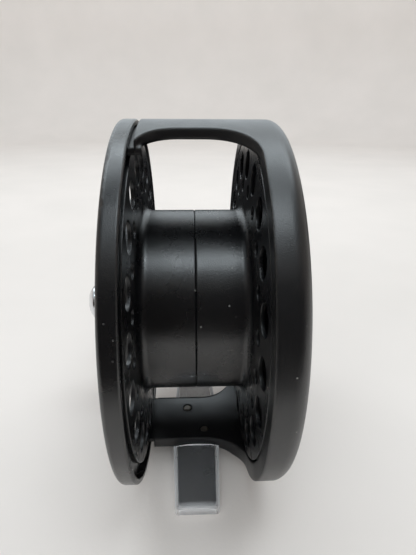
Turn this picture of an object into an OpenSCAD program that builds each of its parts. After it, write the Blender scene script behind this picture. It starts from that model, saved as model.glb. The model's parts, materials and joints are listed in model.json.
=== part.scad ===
// Large-arbor fly reel with a half frame, an exposed palming rim and a sealed disc drag.
// Millimetres. X is the reel axis: the handle side is -X and the drag knob side is +X.
// Z is up and the reel foot is at the bottom, with its tongues along Y.
// Angles around the axis start at -Y (the side the line leaves from) and rise towards +Z.

/* [Reel] */

// Outer radius shared by the palming rim and the frame.
reel_r = 50; // [40:1:60]

/* [Spool] */

// Outer radius of the two arbor halves, where the line is wound.
arbor_r = 25.9; // [20:0.1:32]

// Wall of the arbor halves.
arbor_wall = 1.5; // [1:0.1:3]

// Outer radius of both perforated flanges.
flange_r = 45; // [38:0.5:47]

// Distance from the middle seam to the front flange at its root.
front_root_x = 14; // [9:0.1:16]

// Distance from the middle seam to the rear flange at its root.
rear_root_x = 13.5; // [9:0.1:16]

// Distance from the middle seam to a flange at its outer edge.
flange_edge_x = 14.6; // [10:0.1:18]

// Thickness of a flange where it is perforated.
flange_t = 1; // [0.7:0.1:2]

// Distance from the middle seam to the outer face of the front flange.
front_face_x = 16.8; // [15:0.1:20]

// Distance from the middle seam to the outer face of the rear flange.
rear_face_x = 16.4; // [15:0.1:18]

// Distance from the middle seam to the outer end of the palming rim.
rim_end_x = 18.9; // [17:0.1:22]

// Wall of the palming rim.
rim_wall = 1.3; // [1:0.1:3]

// Holes in each ring of a flange.
flange_holes = 20; // [12:1:30]

// Diameter of the large flange holes.
big_hole_d = 7.6; // [4:0.1:9]

// Radius of the ring of large flange holes.
big_ring_r = 38.7; // [34:0.1:41]

// Diameter of the small flange holes.
small_hole_d = 3.8; // [2:0.1:5]

// Radius of the ring of small flange holes.
small_ring_r = 33; // [29:0.1:35]

/* [Handle] */

// Radius from the reel axis to the handle.
handle_ring_r = 37.5; // [30:0.5:41]

// Angle of the handle around the reel axis.
handle_angle = 207; // [0:1:360]

// Distance from the middle seam to the tip of the handle knob.
handle_tip_x = 39.9; // [32:0.1:45]

// Largest radius of the handle knob.
knob_grip_r = 6.6; // [5:0.1:9]

/* [Frame] */

// Inner radius of the frame around the spool.
frame_in_r = 45.6; // [40:0.1:48]

// Left ends of the pillar and of the foot bar, measured from the seam.
frame_left_x = 13.3; // [10:0.1:14]

// Outer face of the back wall, measured from the seam.
back_x = 22; // [20:0.5:26]

// Thickness of the back wall.
back_wall = 2.5; // [2:0.1:4]

// Half the width of the top pillar.
pillar_half = 11.5; // [8:0.5:16]

// Thickness of the top pillar.
pillar_t = 2.5; // [1.5:0.1:4]

// Half the width of the foot bar.
bar_half = 10; // [7:0.5:14]

// Distance from the reel axis down to the flat underside of the foot bar.
bar_under_z = 47.9; // [46:0.1:50]

/* [Foot] */

// Length of the reel foot from tongue tip to tongue tip.
foot_len = 61.6; // [50:0.1:70]

// Width of the foot in the middle.
foot_w = 11.6; // [9:0.1:14]

// Width of the foot at the tongue tips.
foot_tip_w = 10.6; // [6:0.1:12]

// Distance from the reel axis down to the underside of the foot.
foot_under_z = 51.2; // [50:0.1:56]

// Outer width of a clear foot sleeve at its open end.
sleeve_w = 14.2; // [11:0.1:16]

// Outer width of a clear foot sleeve at its closed end.
sleeve_tip_w = 12.4; // [10:0.1:15]

// Wall of a clear foot sleeve.
sleeve_wall = 0.7; // [0.4:0.05:1.2]

// Distance from the reel axis down to the underside of the sleeves.
sleeve_under_z = 52; // [51:0.1:57]

/* [Drag] */

// Radius of the rotating spindle.
spindle_r = 4; // [3:0.1:5]

// Outer radius of the drag turret that stands on the back wall.
turret_r = 17; // [15:0.1:18]

// Inner radius of the drag turret.
turret_in_r = 14; // [12:0.1:15]

// Radius of the drag knob.
drag_knob_r = 15.5; // [12:0.1:18]

// Outer end of the drag knob, measured from the seam.
drag_knob_x = 29.5; // [26:0.1:31]

// Finger scallops around the drag knob.
knob_scallops = 10; // [6:1:16]

// Clearance of a running fit on the radius.
run_fit = 0.04; // [0.01:0.01:0.1]

/* [Hidden] */

$fn = 64;
eps = 0.5;
pitch_a = 360 / flange_holes;
front_phase = pitch_a / 2;
rear_phase = 0;
flare_r = 2.1;
cone_r = arbor_r + flare_r;
recess_in_r = 30.7;
recess_out_r = 43.2;
arbor_in_r = arbor_r - arbor_wall;
rim_in_r = reel_r - rim_wall;
hub_boss_r = 13;
hub_boss_x = 22;
hub_r = 10;
hub_bore_r = 6;
hub_end_x = 3.2;
web_x = 14.6;
seam_ring_r = 18.4;
seam_ring_t = 2.2;
screw_ring_r = 21.6;
screw_count = 5;
screw_r = 1.25;
screw_head_r = 2.3;
screw_len = 8;
cavity_x = 6;
back_in_x = back_x - back_wall;
shoulder_r = 3.7;
lip_x = 14.4;
step_x = 15.9;
bearing_r = 7;
bearing_w = 4;
nose_r = 8.6;
nose_x = 2.6;
weight_angle = handle_angle - 180;
weight_ring_r = 28.3;
weight_x = 19.2;
weight_tap_x = front_root_x + 1;
latch_angle = handle_angle - 90;
latch_travel = 1.5;
latch_half = 5.4;
plate_x = 20.5;
plate_t = 1;
slot_gap = 0.1;
cover_ring_r = 10.5;
cover_screw_angles = [for (a = [50, 130, 230, 310]) latch_angle + a];
weight_screw_angles = [weight_angle - 15, weight_angle + 15];
turret_screw_r = 15.6;
turret_screw_angles = [90, 210, 330];
lug_angles = [30, 150, 270];
sleeve_y = 11.3;
sleeve_tip_y = 31.9;
sleeve_h = 6.2;
sleeve_fall = 8.66;
sleeve_dome_r = 30;
foot_screw_x = 2.8;
foot_screw_y = 5.25;
foot_screw_r = 1.35;
pawl_ring_r = 19.8;
pawl_angle = 60;
anchor_ring_r = 19.56;
click_in_r = 22.3;
click_teeth = 48;
detent_ring_r = 11;
detent_count = 24;
pad_half = 11;
handle_gap = 0.45;
knob_dome_r = 9.5;
handle_boss_x = 18.1;
post_end_x = 14.8;

// ---- shared shapes ----

// Turns a shape built along +Z so that it lies along +X.
module along_x() {
  rotate([0, 90, 0]) children();
}

// Moves a shape out to a radius and an angle around the reel axis.
module at_polar(r, a) {
  translate([0, -r * cos(a), r * sin(a)]) children();
}

// Spins a shape around the reel axis from the -Y side up to an angle.
module at_angle(a) {
  rotate([-a, 0, 0]) children();
}

// Plain rod along X between two positions.
module rod_x(r, x0, x1) {
  translate([x0, 0, 0]) along_x() cylinder(r = r, h = x1 - x0);
}

// Ring along X between two positions.
module ring_x(r_out, r_in, x0, x1) {
  along_x() rotate_extrude() translate([r_in, x0]) square([r_out - r_in, x1 - x0]);
}

// Solid of revolution around X; the outline is drawn as radius and X.
module turned() {
  along_x() rotate_extrude() children();
}

// Part of a ring along X between two angles around the reel axis.
module arc_x(a0, a1, r_out, r_in, x0, x1) {
  along_x() rotate([0, 0, -90 - a1]) rotate_extrude(angle = a1 - a0)
    translate([r_in, x0]) square([r_out - r_in, x1 - x0]);
}

// Rod with a countersunk head at its high-X end.
module flat_screw(r, head_r, x_head, len) {
  cone = head_r - r;
  turned() polygon([
    [0, x_head], [head_r, x_head], [r, x_head - cone], [r, x_head - len], [0, x_head - len]
  ]);
}

// Ring of holes through a flange, leaving out the angles in a list.
module hole_ring(ring_r, d, phase, x0, x1, skip) {
  for (k = [0 : flange_holes - 1]) {
    a = phase + k * pitch_a;
    if (len(search(a, skip)) == 0) at_polar(ring_r, a) rod_x(d / 2, x0, x1);
  }
}

// Outline of one half of the spool body: arbor wall, flare and thin flange, for X above zero.
module flange_outline(root_x, edge_x, face_x) {
  difference() {
    polygon([
      [arbor_in_r, 0], [arbor_r - 0.25, 0], [arbor_r, 0.25], [arbor_r, root_x - flare_r],
      [cone_r, root_x - flare_r], [cone_r, root_x], [flange_r, edge_x],
      [flange_r, face_x], [recess_out_r, face_x], [recess_out_r - 0.3, edge_x + flange_t],
      [recess_in_r + 0.3, root_x + flange_t], [recess_in_r, face_x], [arbor_in_r, face_x]
    ]);
    translate([cone_r, root_x - flare_r]) circle(r = flare_r);
  }
}

// ---- spool ----

// Outline of the front face: groove, palming rim, recessed face and centre hub.
module front_outline() {
  difference() {
    polygon([
      [recess_out_r, front_face_x - 1], [rim_in_r, front_face_x - 0.2], [rim_in_r, flange_edge_x],
      [reel_r - 0.4, flange_edge_x], [reel_r, flange_edge_x + 0.4], [reel_r, rim_end_x],
      [flange_r + 1, rim_end_x], [flange_r - 1, front_face_x], [recess_out_r, front_face_x]
    ]);
    difference() {
      translate([reel_r - rim_wall, rim_end_x - rim_wall]) square(rim_wall + 1);
      translate([reel_r - rim_wall, rim_end_x - rim_wall]) circle(r = rim_wall);
    }
  }
  translate([hub_bore_r, web_x]) square([arbor_in_r - hub_bore_r + 0.2, front_face_x - web_x]);
  translate([hub_bore_r, hub_end_x]) square([hub_r - hub_bore_r, web_x - hub_end_x + 0.2]);
  translate([hub_bore_r, front_face_x - 0.2])
    square([hub_boss_r - hub_bore_r, hub_boss_x - front_face_x + 0.2]);
}

// Columns inside the arbor that take the screws from the rear half.
module screw_columns() {
  for (k = [0 : screw_count - 1])
    at_polar(screw_ring_r, k * 360 / screw_count) rod_x(3, -web_x - 0.2, 0);
}

// Openings in the wall between the hub and the arbor.
module web_ports() {
  for (k = [0 : screw_count - 1])
    at_polar(17.6, (k + 0.5) * 360 / screw_count) rod_x(3.9, -front_face_x - 1, -web_x + 1);
}

// Slot across the hub boss in which the latch plate slides.
module latch_slot() {
  at_angle(latch_angle)
    translate([-plate_x - slot_gap, -hub_boss_r - 1, -latch_half - slot_gap])
      cube([plate_t + 2 * slot_gap, hub_boss_r + 13.6, 2 * (latch_half + slot_gap)]);
}

// Front half: perforated flange, palming rim, half of the arbor and the hub.
module spool_front() {
  color("#1d1e20") difference() {
    union() {
      mirror([1, 0, 0]) turned() {
        flange_outline(front_root_x, flange_edge_x, front_face_x);
        front_outline();
      }
      screw_columns();
      at_polar(handle_ring_r, handle_angle) rod_x(5, -handle_boss_x, -flange_edge_x - 0.1);
    }
    hole_ring(big_ring_r, big_hole_d, front_phase, -rim_end_x, -front_root_x, [handle_angle]);
    hole_ring(small_ring_r, small_hole_d, 0, -rim_end_x, -front_root_x, []);
    web_ports();
    latch_slot();
    for (k = [0 : screw_count - 1])
      at_polar(screw_ring_r, k * 360 / screw_count) rod_x(screw_r + 0.03, -screw_len, eps);
    at_polar(handle_ring_r, handle_angle) rod_x(2.03, -handle_boss_x - 1, -front_root_x);
    for (a = weight_screw_angles)
      at_polar(weight_ring_r, a) rod_x(0.83, -front_face_x - 1, -weight_tap_x);
    for (a = cover_screw_angles)
      at_polar(cover_ring_r, a) rod_x(0.83, -hub_boss_x - 1, -hub_boss_x + 4);
  }
}

// Rear half: perforated flange, half of the arbor and the ring that is screwed to the columns.
module spool_rear() {
  color("#1d1e20") difference() {
    turned() {
      flange_outline(rear_root_x, flange_edge_x - 0.2, rear_face_x);
      translate([seam_ring_r, 0]) square([arbor_in_r - seam_ring_r + 0.2, seam_ring_t]);
    }
    hole_ring(big_ring_r, big_hole_d, rear_phase, rear_root_x - 1, rear_face_x + 1, []);
    hole_ring(small_ring_r, small_hole_d, front_phase, rear_root_x - 1, rear_face_x + 1, []);
    for (k = [0 : screw_count - 1])
      at_polar(screw_ring_r, k * 360 / screw_count) {
        rod_x(screw_r + 0.03, -eps, seam_ring_t + eps);
        turned() polygon([
          [0, seam_ring_t + 0.3], [screw_head_r + 0.35, seam_ring_t + 0.3],
          [screw_r + 0.03, seam_ring_t - 1.02], [0, seam_ring_t - 1.02]
        ]);
      }
  }
}

// Countersunk screws that join the two spool halves.
module spool_screws() {
  color("#9a9c9f") for (k = [0 : screw_count - 1])
    at_polar(screw_ring_r, k * 360 / screw_count)
      flat_screw(screw_r, screw_head_r, seam_ring_t, screw_len);
}

// Bronze bush in the front of the hub.
module hub_bush() {
  color("#a9793f") ring_x(hub_bore_r, spindle_r + run_fit, -18.4, -15.4);
}

// Drawn cup of the one-way roller clutch.
module clutch_shell() {
  color("#8c8f94") turned() {
    translate([5.65, -15.2]) square([hub_bore_r - 5.65, 12]);
    translate([4.4, -15.2]) square([1.4, 0.5]);
    translate([4.4, -3.7]) square([1.4, 0.5]);
  }
}

// Needle rollers of the one-way clutch.
module clutch_rollers() {
  color("#c9ccd1") for (k = [0 : 7]) at_polar(4.83, k * 45) rod_x(0.77, -14.5, -3.9);
}

// Toothed ring pressed into the back of the arbor; the click pawl rides on it.
module click_ring() {
  color("#6d7075") translate([13, 0, 0]) along_x() linear_extrude(3) difference() {
    circle(r = arbor_in_r - 0.02);
    polygon([
      for (k = [0 : 2 * click_teeth - 1])
        let (a = k * 180 / click_teeth, r = click_in_r + (k % 2) * 0.9) [r * cos(a), r * sin(a)]
    ]);
  }
}

// Sliding catch that holds the spool on the groove of the spindle.
module latch_plate() {
  color("#b9bcc1") at_angle(latch_angle) {
    translate([-plate_x, 0, 0]) along_x() linear_extrude(plate_t) difference() {
      translate([-latch_half, -17.5]) square([2 * latch_half, 28]);
      circle(r = 3.3);
      translate([0, -latch_travel]) circle(r = 4.2);
    }
    translate([-plate_x - 2.3, -17.5, -latch_half]) cube([2.5, 1.6, 2 * latch_half]);
  }
}

// Bowed leaf behind the catch.
module latch_spring() {
  color("#c9ccd1") at_angle(latch_angle) translate([-plate_x + 0.1, 10.62, 0]) intersection() {
    translate([0, 7.6, 0]) difference() {
      rod_x(7.6, 0, plate_t - 0.2);
      rod_x(7.4, -eps, plate_t + eps);
    }
    translate([-eps, -0.1, -5]) cube([2, 1.85, 10]);
  }
}

// Low domed cover over the catch.
module hub_cover() {
  color("#c4c6c9") difference() {
    turned() polygon([
      [0, -24], [7, -23.7], [11, -23.1], [hub_boss_r, -22.5], [hub_boss_r, -hub_boss_x],
      [0, -hub_boss_x]
    ]);
    for (a = cover_screw_angles)
      at_polar(cover_ring_r, a) {
        rod_x(0.85, -25, -21);
        rod_x(1.65, -25, -22.9);
      }
  }
}

// Small screws of the hub cover.
module cover_screws() {
  color("#9a9c9f") for (a = cover_screw_angles)
    at_polar(cover_ring_r, a) {
      rod_x(0.8, -22.9, -18.6);
      rod_x(1.5, -23.5, -22.9);
    }
}

// ---- handle and counterweight ----

// Shoulder screw that carries the handle knob.
module handle_post() {
  color("#c9ccd1") at_polar(handle_ring_r, handle_angle) turned() polygon([
    [0, -post_end_x], [2, -post_end_x], [2, -handle_boss_x], [2.6, -handle_boss_x], [2.6, -36.6],
    [3.4, -36.6], [3.4, -38], [0, -38]
  ]);
}

// Thin washer between the handle knob and its boss.
module handle_washer() {
  color("#e6e2d6") at_polar(handle_ring_r, handle_angle)
    ring_x(4.6, 2.65, -handle_boss_x - 0.35, -handle_boss_x);
}

// Waisted handle knob with a rounded end.
module handle_knob() {
  base_x = handle_boss_x + handle_gap;
  color("#b8bbbf") at_polar(handle_ring_r, handle_angle) mirror([1, 0, 0]) turned() difference() {
    polygon([
      [2.65, base_x], [5.2, base_x], [5.9, base_x + 0.7], [5.9, base_x + 3], [5.3, base_x + 7],
      [5.2, base_x + 10], [5.6, base_x + 13], [knob_grip_r - 0.2, base_x + 16.5],
      [knob_grip_r, base_x + 18.3], [knob_grip_r, handle_tip_x], [2.65, handle_tip_x]
    ]);
    difference() {
      translate([0, handle_tip_x - 4]) square([knob_grip_r + 1, 5]);
      translate([0, handle_tip_x - knob_dome_r]) circle(r = knob_dome_r);
    }
    translate([0, 36.5]) square([3.6, 5]);
  }
}

// Arc-shaped weight that balances the handle.
module counterweight() {
  color("#7b7e83") difference() {
    arc_x(weight_angle - 25, weight_angle + 25, 30.3, 26.3, -weight_x, -front_face_x);
    for (a = weight_screw_angles) at_polar(weight_ring_r, a) rod_x(0.85, -20, -16);
  }
}

// Screws of the counterweight.
module counterweight_screws() {
  color("#9a9c9f") for (a = weight_screw_angles)
    at_polar(weight_ring_r, a) {
      rod_x(0.8, -weight_x, -weight_tap_x - 0.2);
      rod_x(1.5, -weight_x - 0.6, -weight_x);
    }
}

// ---- frame ----

// Outline of the back housing: lip, rounded shoulder, back wall and drag turret.
module housing_outline() {
  difference() {
    polygon([
      [frame_in_r, lip_x], [reel_r, lip_x], [reel_r, back_x], [3.95, back_x], [3.95, back_in_x],
      [turret_in_r, back_in_x], [turret_in_r, cavity_x], [turret_r, cavity_x],
      [turret_r, back_in_x], [frame_in_r, back_in_x]
    ]);
    difference() {
      translate([reel_r - shoulder_r, back_x - shoulder_r]) square(shoulder_r + 1);
      translate([reel_r - shoulder_r, back_x - shoulder_r]) circle(r = shoulder_r);
    }
    translate([21, back_x - 0.7]) square([22, 2]);
  }
}

// Window beside the pillar or the bar: straight edge at half the width, two rounded corners.
module window_outline(half, left_x, corner_l, corner_r) {
  depth = 60;
  difference() {
    translate([left_x, half]) square([lip_x - left_x, depth]);
    difference() {
      translate([lip_x - corner_r, half]) square(corner_r);
      translate([lip_x - corner_r, half + corner_r]) circle(r = corner_r);
    }
    difference() {
      translate([left_x, half]) square(corner_l);
      translate([left_x + corner_l, half + corner_l]) circle(r = corner_l);
    }
  }
}

// Top pillar: part of the outer ring that flares at both ends.
module pillar() {
  intersection() {
    difference() {
      ring_x(reel_r, reel_r - pillar_t, -frame_left_x, lip_x + 1.5);
      for (s = [0, 1]) mirror([0, s, 0])
        linear_extrude(80) window_outline(pillar_half, -frame_left_x - 0.5, 10, 12);
    }
    translate([-30, -23.5, 0]) cube([60, 47, 60]);
  }
}

// Step on the left end of the pillar that reaches under the palming rim.
module pillar_step() {
  intersection() {
    ring_x(48.1, 46.6, -step_x, -frame_left_x + 1.5);
    translate([-30, -17.5, 0]) cube([60, 35, 60]);
  }
}

// Foot bar: part of the outer ring with a flat underside.
module foot_bar() {
  intersection() {
    difference() {
      ring_x(reel_r, frame_in_r, -frame_left_x, lip_x + 1.5);
      for (s = [0, 1]) mirror([0, s, 0])
        translate([0, 0, -80]) linear_extrude(80)
          window_outline(bar_half, -frame_left_x - 1, 0.2, 12);
    }
    translate([-frame_left_x, -22, -60]) cube([40, 44, 60]);
    union() {
      translate([-30, -22, -bar_under_z]) cube([60, 44, 60]);
      rod_x(reel_r, 11, 20);
    }
  }
}

// Step on the left end of the foot bar that reaches into the groove of the spool.
module bar_step() {
  intersection() {
    ring_x(46.9, frame_in_r, -step_x, -frame_left_x + 0.5);
    translate([-30, -9.8, -60]) cube([60, 19.6, 60]);
  }
}

// One-piece frame: back housing with turret, top pillar and foot bar.
module frame() {
  color("#202124") difference() {
    union() {
      turned() housing_outline();
      pillar();
      pillar_step();
      foot_bar();
      bar_step();
    }
    for (s = [-1, 1])
      translate([s * foot_screw_x, -s * foot_screw_y, -bar_under_z - 1])
        cylinder(r = foot_screw_r + 0.03, h = 6);
    for (a = lug_angles) at_polar(turret_in_r, a) rod_x(1.3, cavity_x + 1, back_in_x);
    for (a = turret_screw_angles) at_polar(turret_screw_r, a) rod_x(0.75, cavity_x - 1, cavity_x + 6);
    at_polar(detent_ring_r, 0) rod_x(1.16, 20, back_x + 1);
    at_polar(pawl_ring_r, pawl_angle) rod_x(1, back_in_x - 1, back_x - 1);
    at_polar(anchor_ring_r, pawl_angle + 60) rod_x(0.8, back_in_x - 1, back_x - 1);
  }
}

// ---- foot ----

// Side view of half of the foot: pad and one tongue.
module foot_side() {
  polygon([
    [-0.01, -foot_under_z], [foot_len / 2 - 0.6, -foot_under_z],
    [foot_len / 2, -foot_under_z + 0.5], [foot_len / 2, -foot_under_z + 1],
    [pad_half, -bar_under_z - 0.2], [pad_half - 1, -bar_under_z], [-0.01, -bar_under_z]
  ]);
}

// Plan view of the foot.
module foot_plan() {
  half = foot_len / 2;
  tip = foot_tip_w / 2;
  mid = foot_w / 2;
  polygon([
    [-mid, -pad_half], [-tip, -half + 2], [-tip + 1.6, -half], [tip - 1.6, -half],
    [tip, -half + 2], [mid, -pad_half], [mid, pad_half], [tip, half - 2], [tip - 1.6, half],
    [-tip + 1.6, half], [-tip, half - 2], [-mid, pad_half]
  ]);
}

// Reel foot with two tongues and a hollow underside that fits the rod.
module reel_foot() {
  color("#18191b") difference() {
    intersection() {
      for (s = [0, 1]) mirror([0, s, 0])
        translate([-10, 0, 0]) rotate([90, 0, 90]) linear_extrude(20) foot_side();
      translate([0, 0, -60]) linear_extrude(20) foot_plan();
      translate([0, 40, -bar_under_z - 16]) rotate([90, 0, 0]) cylinder(r = 16, h = 80);
    }
    translate([0, 40, -foot_under_z - 11.5]) rotate([90, 0, 0]) cylinder(r = 12, h = 80);
    for (s = [-1, 1])
      translate([s * foot_screw_x, -s * foot_screw_y, -foot_under_z - 1]) {
        cylinder(r = foot_screw_r + 0.03, h = 6);
        cylinder(r1 = 3.2, r2 = foot_screw_r + 0.03, h = 3.2 - foot_screw_r);
      }
  }
}

// Two screws that hold the foot; their tips show inside the bar.
module foot_screws() {
  color("#c9ccd1") for (s = [-1, 1])
    translate([s * foot_screw_x, -s * foot_screw_y, -foot_under_z + 0.45]) rotate_extrude()
      polygon([
        [0, 0], [1.7, 0], [foot_screw_r, 0.4], [foot_screw_r, 5.3], [foot_screw_r - 0.3, 5.6],
        [0, 5.6]
      ]);
}

// Solid shape of a sleeve, drawn a distance inside its outer face.
module sleeve_solid(inset) {
  mouth = sleeve_w / 2 - inset;
  tip = sleeve_tip_w / 2 - inset;
  tip_y = sleeve_tip_y - 1.2 * inset;
  low_z = -sleeve_under_z + inset;
  intersection() {
    translate([0, 0, -60]) linear_extrude(30)
      polygon([
        [-mouth, sleeve_y], [mouth, sleeve_y], [tip, tip_y - 1], [tip - 1, tip_y],
        [1 - tip, tip_y], [-tip, tip_y - 1]
      ]);
    translate([-10, 0, 0]) rotate([90, 0, 90]) linear_extrude(20)
      polygon([[0, low_z], [tip_y - 0.6, low_z], [tip_y, low_z + 0.6], [tip_y, -40], [0, -40]]);
    translate([0, sleeve_y, -sleeve_under_z + sleeve_h]) rotate([-sleeve_fall, 0, 0])
      translate([0, -30, -sleeve_dome_r]) rotate([-90, 0, 0]) cylinder(r = sleeve_dome_r - inset, h = 80);
  }
}

// Clear sleeve on the tongue that points along +Y.
module sleeve() {
  difference() {
    sleeve_solid(0);
    sleeve_solid(sleeve_wall);
    intersection() {
      translate([0, -1, 0]) sleeve_solid(sleeve_wall);
      translate([-10, 0, -60]) cube([20, sleeve_y + 1, 30]);
    }
  }
}

// Clear sleeve on the front tongue.
module foot_sleeve_front() {
  color("#dfe6e8", 0.4) mirror([0, 1, 0]) sleeve();
}

// Clear sleeve on the rear tongue.
module foot_sleeve_rear() {
  color("#dfe6e8", 0.4) sleeve();
}

// ---- drag ----

// Rotating spindle with a latch groove and the drag rotor at its inner end.
module spindle() {
  color("#b9bcc1") turned() polygon([
    [0, -21.6], [3.4, -21.6], [spindle_r, -20.9], [spindle_r, -20.7], [3.2, -20.7],
    [3.2, -19.3], [spindle_r, -19.3], [spindle_r, 8], [12.5, 8], [12.5, 9.6], [3, 9.6],
    [3, 11.6], [0, 11.6]
  ]);
}

// Ball bearing drawn as a ring with a groove between its two races.
module bearing(x0) {
  turned() difference() {
    translate([spindle_r + 0.01, x0]) square([bearing_r - spindle_r - 0.01, bearing_w]);
    translate([5, x0 - 1]) square([1, 1.25]);
    translate([5, x0 + bearing_w - 0.25]) square([1, 1.25]);
  }
}

// Bearing at the open end of the nose.
module bearing_front() {
  color("#9fa3a8") bearing(-1.4);
}

// Bearing beside the drag rotor.
module bearing_rear() {
  color("#9fa3a8") bearing(2.9);
}

// Rubber seal at the mouth of the nose.
module shaft_seal() {
  color("#111111") ring_x(bearing_r, spindle_r + run_fit, -2.05, -1.45);
}

// Cover of the drag turret with the nose that holds the bearings.
module drag_cover() {
  color("#2a2b2e") difference() {
    turned() polygon([
      [4.6, -nose_x], [nose_r, -nose_x], [nose_r, 4], [turret_r, 4], [turret_r, cavity_x],
      [turret_in_r - 0.1, cavity_x], [turret_in_r - 0.1, 7], [bearing_r, 7], [bearing_r, -2.1],
      [4.6, -2.1]
    ]);
    for (a = turret_screw_angles) at_polar(turret_screw_r, a) {
      rod_x(0.75, 3, 8);
      rod_x(1.3, 3, 4.8);
    }
  }
}

// Screws of the drag cover.
module drag_cover_screws() {
  color("#9a9c9f") for (a = turret_screw_angles) at_polar(turret_screw_r, a) {
    rod_x(0.72, 4.8, 11);
    rod_x(1.2, 4.05, 4.8);
  }
}

// Friction disc between the cover and the rotor.
module friction_disc_front() {
  color("#3b3a38") ring_x(12.4, 7.2, 7.05, 7.95);
}

// Friction disc between the rotor and the pressure plate.
module friction_disc_rear() {
  color("#3b3a38") ring_x(12.4, 4.2, 9.65, 10.65);
}

// Ring with three lugs that slide in the grooves of the turret.
module lugged_ring(r_in, x0, x1) {
  difference() {
    union() {
      rod_x(turret_in_r - 0.3, x0, x1);
      for (a = lug_angles) at_polar(turret_in_r, a) rod_x(1.1, x0, x1);
    }
    rod_x(r_in, x0 - 1, x1 + 1);
  }
}

// Steel plate that presses the friction discs together.
module pressure_plate() {
  color("#a7abb0") lugged_ring(3.3, 10.7, 12.2);
}

// Three cupped spring washers, stacked cup to cup.
module drag_springs() {
  color("#c9ccd1") for (k = [0 : 2]) {
    x0 = 12.3 + k * 1.25;
    rise = k % 2 == 0 ? 0.55 : -0.55;
    low = k % 2 == 0 ? x0 : x0 + 0.55;
    turned() polygon([
      [5, low], [10.5, low + rise], [10.5, low + rise + 0.6], [5, low + 0.6]
    ]);
  }
}

// Follower nut that travels along the drag screw.
module drag_nut() {
  color("#a9793f") lugged_ring(3.95, 16.2, 18.4);
}

// Threaded stem turned by the knob.
module drag_screw() {
  color("#b9bcc1") difference() {
    turned() polygon([
      [0, 12.6], [3.85, 12.6], [3.85, 18.8], [6.5, 18.8], [6.5, 19.4], [3.85, 19.4], [3.85, 26],
      [0, 26]
    ]);
    rod_x(1.53, 20, 27);
  }
}

// Scalloped drag knob with a ring of detent pockets underneath.
module drag_knob() {
  color("#222326") difference() {
    turned() polygon([
      [3.88, 22.5], [drag_knob_r - 0.8, 22.5], [drag_knob_r, 23.3], [drag_knob_r - 0.6, 28.2],
      [drag_knob_r - 2, drag_knob_x], [5.2, drag_knob_x], [5.2, 26.8], [1.6, 26.8], [1.6, 26.1],
      [3.88, 26.1]
    ]);
    for (k = [0 : knob_scallops - 1])
      at_polar(drag_knob_r + 1.7, k * 360 / knob_scallops) rod_x(3, 24, 31);
    for (k = [0 : detent_count - 1])
      at_polar(detent_ring_r, k * 360 / detent_count) rod_x(1.15, 22, 23);
  }
}

// Screw that holds the drag knob on its stem.
module knob_screw() {
  color("#9a9c9f") difference() {
    turned() polygon([
      [0, 21], [1.5, 21], [1.5, 26.8], [4.6, 26.8], [4.6, 28.3], [4, 28.9], [0, 28.9]
    ]);
    translate([28, -4, -0.5]) cube([2, 8, 1]);
  }
}

// Ball that clicks into the pockets of the knob.
module detent_ball() {
  color("#c9ccd1") at_polar(detent_ring_r, 0) translate([21.45, 0, 0]) sphere(r = 1.1, $fn = 32);
}

// Spring under the detent ball.
module detent_spring() {
  color("#c9ccd1") at_polar(detent_ring_r, 0) ring_x(0.9, 0.6, 20.02, 20.5);
}

// ---- click ----

// Pawl that clicks over the teeth of the ring, with a tail that bears on the leaf.
module click_pawl() {
  color("#b9bcc1") at_polar(pawl_ring_r, pawl_angle) at_angle(pawl_angle)
    translate([13.4, 0, 0]) along_x() difference() {
      union() {
        cylinder(r = 2, h = 2);
        linear_extrude(2)
          polygon([
            [1.3, -1.2], [0.25, -2.4], [-0.25, -2.4], [-1.3, -1.2], [-3.6, 0.2], [-3.6, 1], [-1, 1.3]
          ]);
      }
      translate([0, 0, -1]) cylinder(r = 1.04, h = 4);
    }
}

// Post the pawl turns on.
module pawl_post() {
  color("#9a9c9f") at_polar(pawl_ring_r, pawl_angle) rod_x(1, 13, back_x - 1);
}

// Leaf that returns the pawl to the middle.
module pawl_spring() {
  color("#c9ccd1") arc_x(pawl_angle + 8, pawl_angle + 62, 18.75, 18.5, 14, 15);
}

// Post that anchors the leaf.
module spring_post() {
  color("#9a9c9f") at_polar(anchor_ring_r, pawl_angle + 60) rod_x(0.8, 13.6, back_x - 1);
}

frame();
reel_foot();
foot_screws();
foot_sleeve_front();
foot_sleeve_rear();
spool_front();
spool_rear();
spool_screws();
hub_bush();
clutch_shell();
clutch_rollers();
click_ring();
latch_plate();
latch_spring();
hub_cover();
cover_screws();
handle_post();
handle_washer();
handle_knob();
counterweight();
counterweight_screws();
spindle();
bearing_front();
bearing_rear();
shaft_seal();
drag_cover();
drag_cover_screws();
friction_disc_front();
friction_disc_rear();
pressure_plate();
drag_springs();
drag_nut();
drag_screw();
drag_knob();
knob_screw();
detent_ball();
detent_spring();
click_pawl();
pawl_post();
pawl_spring();
spring_post();
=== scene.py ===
"""Looks of a large-arbor fly reel on its sleeved foot, seen from the side that the line leaves."""

import json
import math

import bmesh
import bpy
from mathutils import Matrix, Vector

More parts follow.
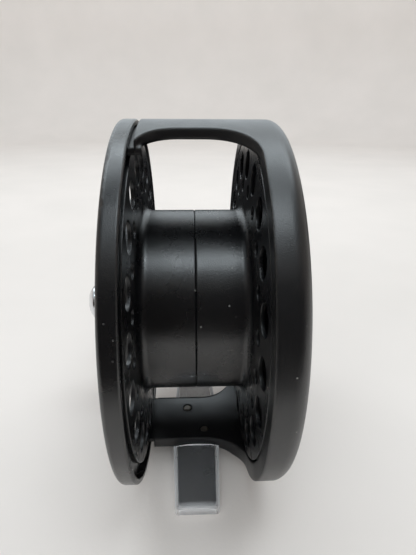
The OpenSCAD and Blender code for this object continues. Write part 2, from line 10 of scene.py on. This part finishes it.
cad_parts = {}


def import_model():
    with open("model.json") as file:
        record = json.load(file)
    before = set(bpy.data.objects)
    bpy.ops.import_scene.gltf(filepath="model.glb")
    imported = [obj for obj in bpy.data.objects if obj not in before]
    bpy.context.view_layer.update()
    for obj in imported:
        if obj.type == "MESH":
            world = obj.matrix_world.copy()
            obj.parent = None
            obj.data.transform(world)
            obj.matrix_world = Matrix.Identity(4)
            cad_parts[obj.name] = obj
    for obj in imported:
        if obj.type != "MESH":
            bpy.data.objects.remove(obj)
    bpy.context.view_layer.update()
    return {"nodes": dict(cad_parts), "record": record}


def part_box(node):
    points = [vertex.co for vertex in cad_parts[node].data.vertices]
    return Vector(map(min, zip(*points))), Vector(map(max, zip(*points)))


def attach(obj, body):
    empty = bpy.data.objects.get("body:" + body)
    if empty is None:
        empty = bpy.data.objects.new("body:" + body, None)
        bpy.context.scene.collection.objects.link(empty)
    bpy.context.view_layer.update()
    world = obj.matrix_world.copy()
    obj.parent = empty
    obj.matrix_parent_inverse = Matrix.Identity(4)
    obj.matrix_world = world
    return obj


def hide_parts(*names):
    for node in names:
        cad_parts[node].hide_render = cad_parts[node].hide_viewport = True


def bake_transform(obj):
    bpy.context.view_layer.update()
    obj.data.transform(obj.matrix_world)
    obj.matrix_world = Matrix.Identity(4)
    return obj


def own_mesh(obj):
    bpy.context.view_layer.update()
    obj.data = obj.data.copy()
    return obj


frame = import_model()
MM = 0.001


# ---- node materials ----

# The Mix node's colour sockets share their names with its number sockets, so they go by place.
MIX_A = 6
MIX_B = 7
MIX_RESULT = 2
# Noise rarely leaves this part of 0 to 1.
NOISE_SPAN = (0.3, 0.7)
SOFT_EDGE_SAMPLES = 8
SPECK_RIM = 0.02


class Surface:
    """A Principled material whose inputs are filled from procedural patterns in object space.

    Pattern scales are in cells per metre.
    """

    def __init__(self, name):
        self.material = bpy.data.materials.new(name)
        self.material.use_nodes = True
        self.tree = self.material.node_tree
        self.shader = self.tree.nodes["Principled BSDF"]
        self.coords = self.tree.nodes.new("ShaderNodeTexCoord").outputs["Object"]

    def add(self, kind, **settings):
        node = self.tree.nodes.new(kind)
        for key, value in settings.items():
            setattr(node, key, value)
        return node

    def link(self, source, target):
        self.tree.links.new(source, target)

    def fill(self, socket, value):
        """Give a socket a number, or link it to another socket."""
        if isinstance(value, (int, float)):
            socket.default_value = value
        else:
            self.link(value, socket)

    def place(self):
        """Object coordinates, as outputs named X, Y and Z."""
        node = self.add("ShaderNodeSeparateXYZ")
        self.link(self.coords, node.inputs["Vector"])
        return node.outputs

    def turned(self, scale):
        """Distance along the reel axis and distance from it, both times scale."""
        place = self.place()
        squares = [self.math("MULTIPLY", place[key], place[key]) for key in ("Y", "Z")]
        from_axis = self.math("SQRT", self.math("ADD", *squares))
        joined = self.add("ShaderNodeCombineXYZ")
        self.link(self.math("MULTIPLY", place["X"], scale), joined.inputs["X"])
        self.link(self.math("MULTIPLY", from_axis, scale), joined.inputs["Y"])
        return joined.outputs["Vector"]

    def noise(self, scale, detail=3.0, rough=0.55, vector=None):
        node = self.add("ShaderNodeTexNoise")
        node.inputs["Scale"].default_value = scale
        node.inputs["Detail"].default_value = detail
        node.inputs["Roughness"].default_value = rough
        self.link(vector or self.coords, node.inputs["Vector"])
        return node.outputs["Fac"]

    def specks(self, scale, size):
        """Sparse round specks: 1 inside a speck, 0 outside."""
        node = self.add("ShaderNodeTexVoronoi")
        node.inputs["Scale"].default_value = scale
        self.link(self.coords, node.inputs["Vector"])
        return self.ranged(node.outputs["Distance"], (size + SPECK_RIM, size), (0.0, 1.0))

    def ranged(self, source, span, out):
        """Value that goes from out[0] to out[1] as the source goes over the span."""
        node = self.add("ShaderNodeMapRange")
        node.inputs["From Min"].default_value = span[0]
        node.inputs["From Max"].default_value = span[1]
        node.inputs["To Min"].default_value = out[0]
        node.inputs["To Max"].default_value = out[1]
        self.link(source, node.inputs["Value"])
        return node.outputs["Result"]

    def around(self, source, middle, below, above, span=NOISE_SPAN):
        """Noise turned into a value from middle - below to middle + above."""
        return self.ranged(source, span, (middle - below, middle + above))

    def math(self, operation, *values):
        node = self.add("ShaderNodeMath", operation=operation)
        for socket, value in zip(node.inputs, values):
            self.fill(socket, value)
        return node.outputs["Value"]

    def mixed(self, factor, a, b):
        """Colour from a, where the factor is 0, to b, where it is 1. Only a may be a socket."""
        node = self.add("ShaderNodeMix", data_type="RGBA")
        self.link(factor, node.inputs["Factor"])
        if isinstance(a, tuple):
            node.inputs[MIX_A].default_value = (*a, 1)
        else:
            self.link(a, node.inputs[MIX_A])
        node.inputs[MIX_B].default_value = (*b, 1)
        return node.outputs[MIX_RESULT]

    def mottled(self, a, b, scale, span=NOISE_SPAN, detail=4.0):
        """Soft patches of colour from a to b."""
        return self.mixed(self.ranged(self.noise(scale, detail), span, (0.0, 1.0)), a, b)

    def colour(self, source):
        self.link(source, self.shader.inputs["Base Color"])

    def roughness(self, source):
        self.link(source, self.shader.inputs["Roughness"])

    def bump(self, height, depth_mm, soft_edge_mm=0.0):
        """Relief of a depth, on edges that look rounded by soft_edge_mm."""
        node = self.add("ShaderNodeBump")
        node.inputs["Distance"].default_value = depth_mm * MM
        self.link(height, node.inputs["Height"])
        if soft_edge_mm:
            edge = self.add("ShaderNodeBevel", samples=SOFT_EDGE_SAMPLES)
            edge.inputs["Radius"].default_value = soft_edge_mm * MM
            self.link(edge.outputs["Normal"], node.inputs["Normal"])
        self.link(node.outputs["Normal"], self.shader.inputs["Normal"])

    def set(self, **values):
        for key, value in values.items():
            self.shader.inputs[key.replace("_", " ")].default_value = value


DUST_COLOUR = (0.30, 0.29, 0.27)
DUSTY_AREAS = (0.46, 0.6)
MOST_DUST = 0.6
DUST_ROUGHNESS = 0.4
SMUDGE_SPAN = (0.3, 0.75)
ANODISED_IOR = 1.7


def anodised(name, dark, light, rough, grain_mm, soft_edge_mm):
    """Satin black coat on blasted metal: soft tone changes, fine grain and a little dust."""
    look = Surface(name)
    coat = look.mottled(dark, light, scale=45.0)
    dusty = look.ranged(look.noise(scale=60.0), DUSTY_AREAS, (0.0, MOST_DUST))
    dust = look.math("MULTIPLY", look.specks(scale=260.0, size=0.05), dusty)
    look.colour(look.mixed(dust, coat, DUST_COLOUR))
    patches = look.noise(scale=70.0, detail=5.0, rough=0.6)
    smudge = look.around(patches, rough, below=0.05, above=0.07, span=SMUDGE_SPAN)
    look.roughness(look.math("ADD", smudge, look.math("MULTIPLY", dust, DUST_ROUGHNESS)))
    look.bump(look.noise(scale=3200.0, detail=2.0, rough=0.7), grain_mm, soft_edge_mm)
    look.set(Metallic=0.0, IOR=ANODISED_IOR)
    return look.material


RINGS_PER_METRE = 7000.0
METAL_SOFT_EDGE_MM = 0.3


def metal(name, bright, dim, rough, ring_mm):
    """Turned metal: fine rings about the reel axis, and slightly uneven polish."""
    look = Surface(name)
    look.colour(look.mottled(dim, bright, scale=120.0))
    rings = look.noise(scale=1.0, detail=2.0, rough=0.5, vector=look.turned(RINGS_PER_METRE))
    look.roughness(look.around(rings, rough, below=0.04, above=0.05))
    look.bump(rings, ring_mm, METAL_SOFT_EDGE_MM)
    look.set(Metallic=1.0)
    return look.material


PLAIN_SPAN = (0.35, 0.65)
PLAIN_SHEEN_SCALE = 0.6
PLAIN_GRAIN_SCALE = 3.0


def plain(name, dark, light, rough, scale, grain_mm):
    """Rubber, felt or plastic: mottled tone with a fine bump."""
    look = Surface(name)
    look.colour(look.mottled(dark, light, scale, PLAIN_SPAN))
    look.roughness(look.around(look.noise(scale * PLAIN_SHEEN_SCALE), rough, below=0.06, above=0.06))
    look.bump(look.noise(scale * PLAIN_GRAIN_SCALE), grain_mm)
    return look.material


# The width |X| + SLEEVE_TAPER * |Y| is SLEEVE_SIDE all along the sides of a sleeve.
SLEEVE_LOW, SLEEVE_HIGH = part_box("foot_sleeve_front")
SLEEVE_TAPER = 0.0437
SLEEVE_SIDE = SLEEVE_HIGH[0] - SLEEVE_HIGH[1] * SLEEVE_TAPER
SLEEVE_END = -SLEEVE_LOW[1]
# Part of the light that goes through the vinyl: in the middle, at the sides and at the closed end.
# Less goes through at the sides and the end, where the milky white is painted brightness that stands
# in for the bright rims of thick clear walls seen edge-on.
CLEAR = 0.96
CLEAR_AT_PAINTED_SIDE_SHINE = 0.50
CLEAR_AT_PAINTED_END_SHINE = 0.68
# It falls between the first of these distances inside the surface and the second.
SIDE_DEPTHS_MM = (1.2, 0.2)
END_DEPTHS_MM = (2.4, 0.6)
VINYL_MILKY = (0.95, 0.94, 0.94)
VINYL_CLEAR = (0.99, 0.985, 0.985)
VINYL_LAMPLIGHT = (0.90, 0.89, 0.90)
VINYL_ROUGHNESS = (0.06, 0.16)
VINYL_GRAIN_MM = 0.04


def clear_vinyl(name):
    """Cloudy soft plastic that lamps shine through, with a glossy skin and painted bright edges,
    where it turns milky at its sides and closed end.
    """
    look = Surface(name)
    look.colour(look.mottled(VINYL_MILKY, VINYL_CLEAR, scale=160.0))
    look.roughness(look.ranged(look.noise(scale=240.0), NOISE_SPAN, VINYL_ROUGHNESS))
    look.bump(look.noise(scale=420.0, detail=2.0), VINYL_GRAIN_MM)
    place = look.place()
    along = look.math("ABSOLUTE", place["Y"])
    narrowing = look.math("MULTIPLY", along, SLEEVE_TAPER)
    across = look.math("ADD", look.math("ABSOLUTE", place["X"]), narrowing)
    side_span = [SLEEVE_SIDE - depth * MM for depth in SIDE_DEPTHS_MM]
    end_span = [SLEEVE_END - depth * MM for depth in END_DEPTHS_MM]
    # Painted brightness: the vinyl lets less light through towards its sides and closed end, so it
    # shows milky white there.
    side = look.ranged(across, side_span, (CLEAR, CLEAR_AT_PAINTED_SIDE_SHINE))
    end = look.ranged(along, end_span, (CLEAR, CLEAR_AT_PAINTED_END_SHINE))
    look.link(look.math("MINIMUM", side, end), look.shader.inputs["Transmission Weight"])
    look.set(IOR=1.42, Coat_Weight=1.0, Coat_Roughness=0.06)
    lamplight = look.add("ShaderNodeBsdfTransparent")
    lamplight.inputs["Color"].default_value = (*VINYL_LAMPLIGHT, 1)
    path = look.add("ShaderNodeLightPath")
    mix = look.add("ShaderNodeMixShader")
    look.link(path.outputs["Is Shadow Ray"], mix.inputs["Fac"])
    look.link(look.shader.outputs["BSDF"], mix.inputs[1])
    look.link(lamplight.outputs["BSDF"], mix.inputs[2])
    look.link(mix.outputs["Shader"], look.tree.nodes["Material Output"].inputs["Surface"])
    return look.material


# Darkest and lightest colour, roughness, depth of the grain in mm, soft edge in mm.
ANODISED = {
    "frame_black": ((0.0028, 0.0028, 0.0032), (0.0055, 0.0055, 0.0062), 0.34, 0.04, 1.1),
    "spool_black": ((0.0028, 0.0028, 0.0032), (0.0050, 0.0050, 0.0058), 0.28, 0.04, 0.4),
    "foot_black": ((0.004, 0.004, 0.0045), (0.008, 0.008, 0.009), 0.30, 0.03, 0.6),
    "knob_black": ((0.0035, 0.0035, 0.004), (0.007, 0.007, 0.008), 0.34, 0.03, 0.5),
}
# Brightest and dimmest colour, roughness, depth of the turned rings in mm.
METALS = {
    "silver_alloy": ((0.74, 0.75, 0.77), (0.66, 0.67, 0.69), 0.24, 0.0012),
    "steel": ((0.60, 0.61, 0.63), (0.52, 0.53, 0.55), 0.28, 0.0014),
    "weight_steel": ((0.16, 0.165, 0.175), (0.12, 0.125, 0.13), 0.34, 0.0014),
    "screw_steel": ((0.50, 0.46, 0.41), (0.38, 0.35, 0.31), 0.50, 0.001),
    "bright_steel": ((0.82, 0.83, 0.85), (0.76, 0.77, 0.79), 0.14, 0.0006),
    "spring_steel": ((0.60, 0.60, 0.62), (0.52, 0.52, 0.53), 0.22, 0.001),
    "bronze": ((0.62, 0.42, 0.19), (0.52, 0.34, 0.15), 0.32, 0.0014),
}
# Darkest and lightest colour, roughness, scale of the mottle, depth of the grain in mm.
PLAINS = {
    "friction": ((0.030, 0.029, 0.027), (0.065, 0.062, 0.058), 0.80, 900.0, 0.02),
    "seal_rubber": ((0.014, 0.014, 0.014), (0.026, 0.026, 0.026), 0.62, 500.0, 0.01),
    "washer_plastic": ((0.80, 0.78, 0.72), (0.88, 0.86, 0.80), 0.45, 400.0, 0.01),
}
LOOKS = {}
for make, table in ((anodised, ANODISED), (metal, METALS), (plain, PLAINS)):
    for slot, values in table.items():
        LOOKS[slot] = make(slot, *values)
LOOKS["clear_plastic"] = clear_vinyl("clear_plastic")


# ---- what the CAD pieces show ----

BODY_OF = {}
for body, nodes in frame["record"]["behaviour"]["bodies"].items():
    for node in nodes:
        BODY_OF[node] = body
SLOT_OF = {entry["node"]: entry["material_slot"] for entry in frame["record"]["subparts"]}


def paint(obj, slot):
    obj.data.materials.clear()
    obj.data.materials.append(LOOKS[slot])


def stand_in(node, mesh):
    """Piece that shows this mesh in place of a CAD node, with the node's finish."""
    piece = bpy.data.objects.new(node + "_look", mesh)
    bpy.context.scene.collection.objects.link(piece)
    paint(piece, SLOT_OF[node])
    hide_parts(node)
    return piece


for node, obj in frame["nodes"].items():
    paint(obj, SLOT_OF[node])


# ---- rounded copies of the CAD pieces ----

# Corners closer than WELD are joined, faces within FLAT of each other are merged, and edges that
# turn by more than SHARP are rounded.
WELD = 0.002 * MM
FLAT = math.radians(0.3)
SHARP = math.radians(33.0)
ROUNDING_STEPS = 3
ROUNDING_MM = {"frame": 0.3, "spool_front": 0.2, "spool_rear": 0.2, "reel_foot": 0.3}


def welded(node):
    """Mesh of a CAD node with its split corners joined and its flat faces merged."""
    made = bmesh.new()
    made.from_mesh(frame["nodes"][node].data)
    bmesh.ops.remove_doubles(made, verts=made.verts, dist=WELD)
    bmesh.ops.dissolve_limit(made, angle_limit=FLAT, verts=made.verts, edges=made.edges)
    for face in made.faces:
        face.smooth = True
    mesh = bpy.data.meshes.new(node + "_look")
    made.to_mesh(mesh)
    made.free()
    for name in ("custom_normal", "sharp_edge", "sharp_face"):
        if name in mesh.attributes:
            mesh.attributes.remove(mesh.attributes[name])
    mesh.set_sharp_from_angle(angle=SHARP)
    return mesh


for node, width_mm in ROUNDING_MM.items():
    piece = stand_in(node, welded(node))
    edge = piece.modifiers.new("edge", "BEVEL")
    edge.width = width_mm * MM
    edge.segments = ROUNDING_STEPS
    edge.limit_method = "ANGLE"
    edge.angle_limit = SHARP
    edge.miter_outer = "MITER_ARC"
    normals = piece.modifiers.new("normals", "WEIGHTED_NORMAL")
    normals.keep_sharp = True
    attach(piece, BODY_OF[node])


# ---- springs, shown by copies of their meshes ----

TOWARDS_NUT = (-1.0, 0.0, 0.0)
# The catch slides at 27 degrees from straight down.
INTO_LATCH = (0.0, -0.45399, -0.891007)
LATCH_SEAT_MM = 12.37
# Joint that presses the spring, direction it is pressed in, its seat in mm, thickness that is left.
PRESSED = {
    "drag_springs": ("drag_nut_slide", TOWARDS_NUT, (12.3, 0, 0), 0.69),
    "detent_spring": ("detent_slide", TOWARDS_NUT, (20.02, 11, 0), 0.35),
    "latch_spring": ("latch_slide", INTO_LATCH, tuple(LATCH_SEAT_MM * v for v in INTO_LATCH), 0.14),
}


def copied(node):
    """Copy of a CAD node's mesh, for a piece of its own."""
    return frame["nodes"][node].data.copy()


for node, (joint, axis, seat_mm, keep) in PRESSED.items():
    piece = stand_in(node, copied(node))
    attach(piece, BODY_OF[node])
    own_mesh(piece)

pawl_leaf = stand_in("pawl_spring", copied("pawl_spring"))
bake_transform(pawl_leaf)


# ---- floor, light and camera ----

COOL = (0.86, 0.95, 1.0)
FLOOR = -0.052
BOWL_RADIUS = 1.35
BOWL_BEND = 0.3
BOWL_TOP = 1.5
BOWL_MIDDLE = 0.05
BEND_STEPS = 16
BOWL_SIDES = 96
BOWL_DARKER = (0.735, 0.675, 0.635)
BOWL_LIGHTER = (0.775, 0.710, 0.670)
BOWL_ROUGHNESS = (0.42, 0.55)
BOWL_GRAIN_MM = 0.03


def bowl_line():
    """Radius and height along the bowl, from the middle of its floor to the top of its wall."""
    line = [(BOWL_MIDDLE, FLOOR)]
    for step in range(BEND_STEPS + 1):
        turn = math.pi / 2 * step / BEND_STEPS
        radius = BOWL_RADIUS - BOWL_BEND + BOWL_BEND * math.sin(turn)
        line.append((radius, FLOOR + BOWL_BEND - BOWL_BEND * math.cos(turn)))
    line.append((BOWL_RADIUS, BOWL_TOP))
    return line


def stage_piece(name, verts, faces, look):
    """Object that is part of the stage, not of the reel."""
    mesh = bpy.data.meshes.new(name)
    mesh.from_pydata(verts, [], faces)
    mesh.materials.append(look.material)
    obj = bpy.data.objects.new(name, mesh)
    bpy.context.scene.collection.objects.link(obj)
    return obj


def bowl():
    """Round pale table that curves up into a pale wall on all sides."""
    line = bowl_line()
    verts = [(0.0, 0.0, FLOOR)]
    for radius, height in line:
        for side in range(BOWL_SIDES):
            turn = math.tau * side / BOWL_SIDES
            verts.append((radius * math.cos(turn), radius * math.sin(turn), height))
    faces = [(0, 1 + side, 1 + (side + 1) % BOWL_SIDES) for side in range(BOWL_SIDES)]
    for row in range(len(line) - 1):
        first = 1 + row * BOWL_SIDES
        for side in range(BOWL_SIDES):
            a = first + side
            b = first + (side + 1) % BOWL_SIDES
            faces.append((a, a + BOWL_SIDES, b + BOWL_SIDES, b))
    look = Surface("bowl_white")
    look.colour(look.mottled(BOWL_DARKER, BOWL_LIGHTER, scale=9.0, detail=3.0))
    look.roughness(look.ranged(look.noise(scale=40.0), NOISE_SPAN, BOWL_ROUGHNESS))
    look.bump(look.noise(scale=900.0), BOWL_GRAIN_MM)
    look.set(Specular_IOR_Level=0.0)
    obj = stage_piece("bowl", verts, faces, look)
    obj.data.shade_smooth()


CARD_LIGHTER = 1.5


def card(name, corner, width, height, colour, glow=0.0):
    """Upright card that shows in reflections and nowhere else: a dark one paints dark reflections, a
    glowing one paints bright reflections.
    """
    x, y, z = corner
    verts = [(x, y, z), (x + width, y, z), (x + width, y, z + height), (x, y, z + height)]
    look = Surface(name)
    look.colour(look.mixed(look.noise(scale=30.0), colour, tuple(CARD_LIGHTER * c for c in colour)))
    look.set(Roughness=0.9, Emission_Color=(*COOL, 1), Emission_Strength=glow)
    look.material.cycles.emission_sampling = "NONE"
    obj = stage_piece(name, verts, [(0, 1, 2, 3)], look)
    obj.visible_camera = False
    obj.visible_shadow = False
    obj.visible_diffuse = False
    obj.visible_transmission = False


def area_light(name, place, aim, size, power, in_reflections=True):
    data = bpy.data.lights.new(name, "AREA")
    data.shape = "RECTANGLE"
    data.size, data.size_y = size
    data.energy = power
    data.color = COOL
    obj = bpy.data.objects.new(name, data)
    obj.location = place
    obj.rotation_euler = (Vector(aim) - Vector(place)).to_track_quat("-Z", "Y").to_euler()
    obj.visible_glossy = in_reflections
    bpy.context.scene.collection.objects.link(obj)


def world(strength):
    """Even soft light that comes in over the top of the wall."""
    made = bpy.data.worlds.new("studio")
    made.use_nodes = True
    background = made.node_tree.nodes["Background"]
    background.inputs["Color"].default_value = (*COOL, 1)
    background.inputs["Strength"].default_value = strength
    bpy.context.scene.world = made


# The camera stands in front of the reel axis and a little to one side, and is then raised by an
# angle about that axis. Tilt, pan and roll, in radians, turn it away from the line to the axis.
CAMERA_DISTANCE = 127.84 * MM
CAMERA_SIDE = -1.37 * MM
CAMERA_RAISE = math.radians(25.5)
TILT = 0.0463
PAN = 0.0417
ROLL = -0.0123
SENSOR_MM = 36.0
LENS_MM = 27.7
NEAREST = 5 * MM


def raised(v):
    """A vector turned about the reel axis by the camera's raise."""
    c = math.cos(CAMERA_RAISE)
    s = math.sin(CAMERA_RAISE)
    return Vector((v.x, v.y * c + v.z * s, -v.y * s + v.z * c))


def camera():
    """Camera at the photo's viewing angle."""
    forward = Vector((math.sin(PAN) * math.cos(TILT), math.cos(PAN) * math.cos(TILT), math.sin(TILT)))
    level = Vector((math.cos(PAN), -math.sin(PAN), 0.0))
    upright = level.cross(forward)
    right = raised(math.cos(ROLL) * level + math.sin(ROLL) * upright)
    up = raised(-math.sin(ROLL) * level + math.cos(ROLL) * upright)
    back = -raised(forward)
    place = raised(Vector((CAMERA_SIDE, -CAMERA_DISTANCE, 0.0)))
    data = bpy.data.cameras.new("camera")
    data.sensor_width = SENSOR_MM
    data.lens = LENS_MM
    data.clip_start = NEAREST
    obj = bpy.data.objects.new("camera", data)
    bpy.context.scene.collection.objects.link(obj)
    obj.matrix_world = Matrix.Translation(place) @ Matrix((right, up, back)).transposed().to_4x4()
    bpy.context.scene.camera = obj


bowl()
# Painted shade: a dark sheet, seen only in reflections, stands in for the shaded table and the dark
# room in front of the reel.
card("front_card", (-0.25, -0.14, FLOOR), width=0.5, height=0.16, colour=(0.03, 0.022, 0.018))
# Painted dark reflection: a sheet, seen only in reflections, stands in for a dark box behind the reel
# and keeps the bright wall out of the foot bar's reflection.
card("back_card", (-0.06, 0.07, FLOOR), width=0.2, height=0.088, colour=(0.02, 0.02, 0.022))
# Painted reflection: a glowing sheet that is no lamp, seen only in reflections, puts a bright band of
# reflected light on the upper parts of the arbor and rims.
card("glow_card", (-0.8, 0.9, 0.17), width=1.6, height=0.62, colour=(0.1, 0.1, 0.1), glow=1.2)
area_light("key", place=(0.05, -0.17, 0.46), aim=(0, 0, 0), size=(0.20, 0.10), power=0.5)
area_light("overhead", place=(0.0, 0.28, 0.62), aim=(0, 0.05, 0), size=(1.0, 0.36), power=2.6)
area_light("backdrop", place=(0.0, 0.45, 0.90), aim=(0, 1.35, 0.15), size=(1.4, 0.4), power=7.0)
area_light(
    "fill",
    place=(-0.1, -0.5, 0.25),
    aim=(0, 0, -0.04),
    size=(0.8, 0.4),
    power=2.0,
    in_reflections=False,
)
world(strength=0.50)
camera()
bpy.context.scene.view_settings.view_transform = "Standard"
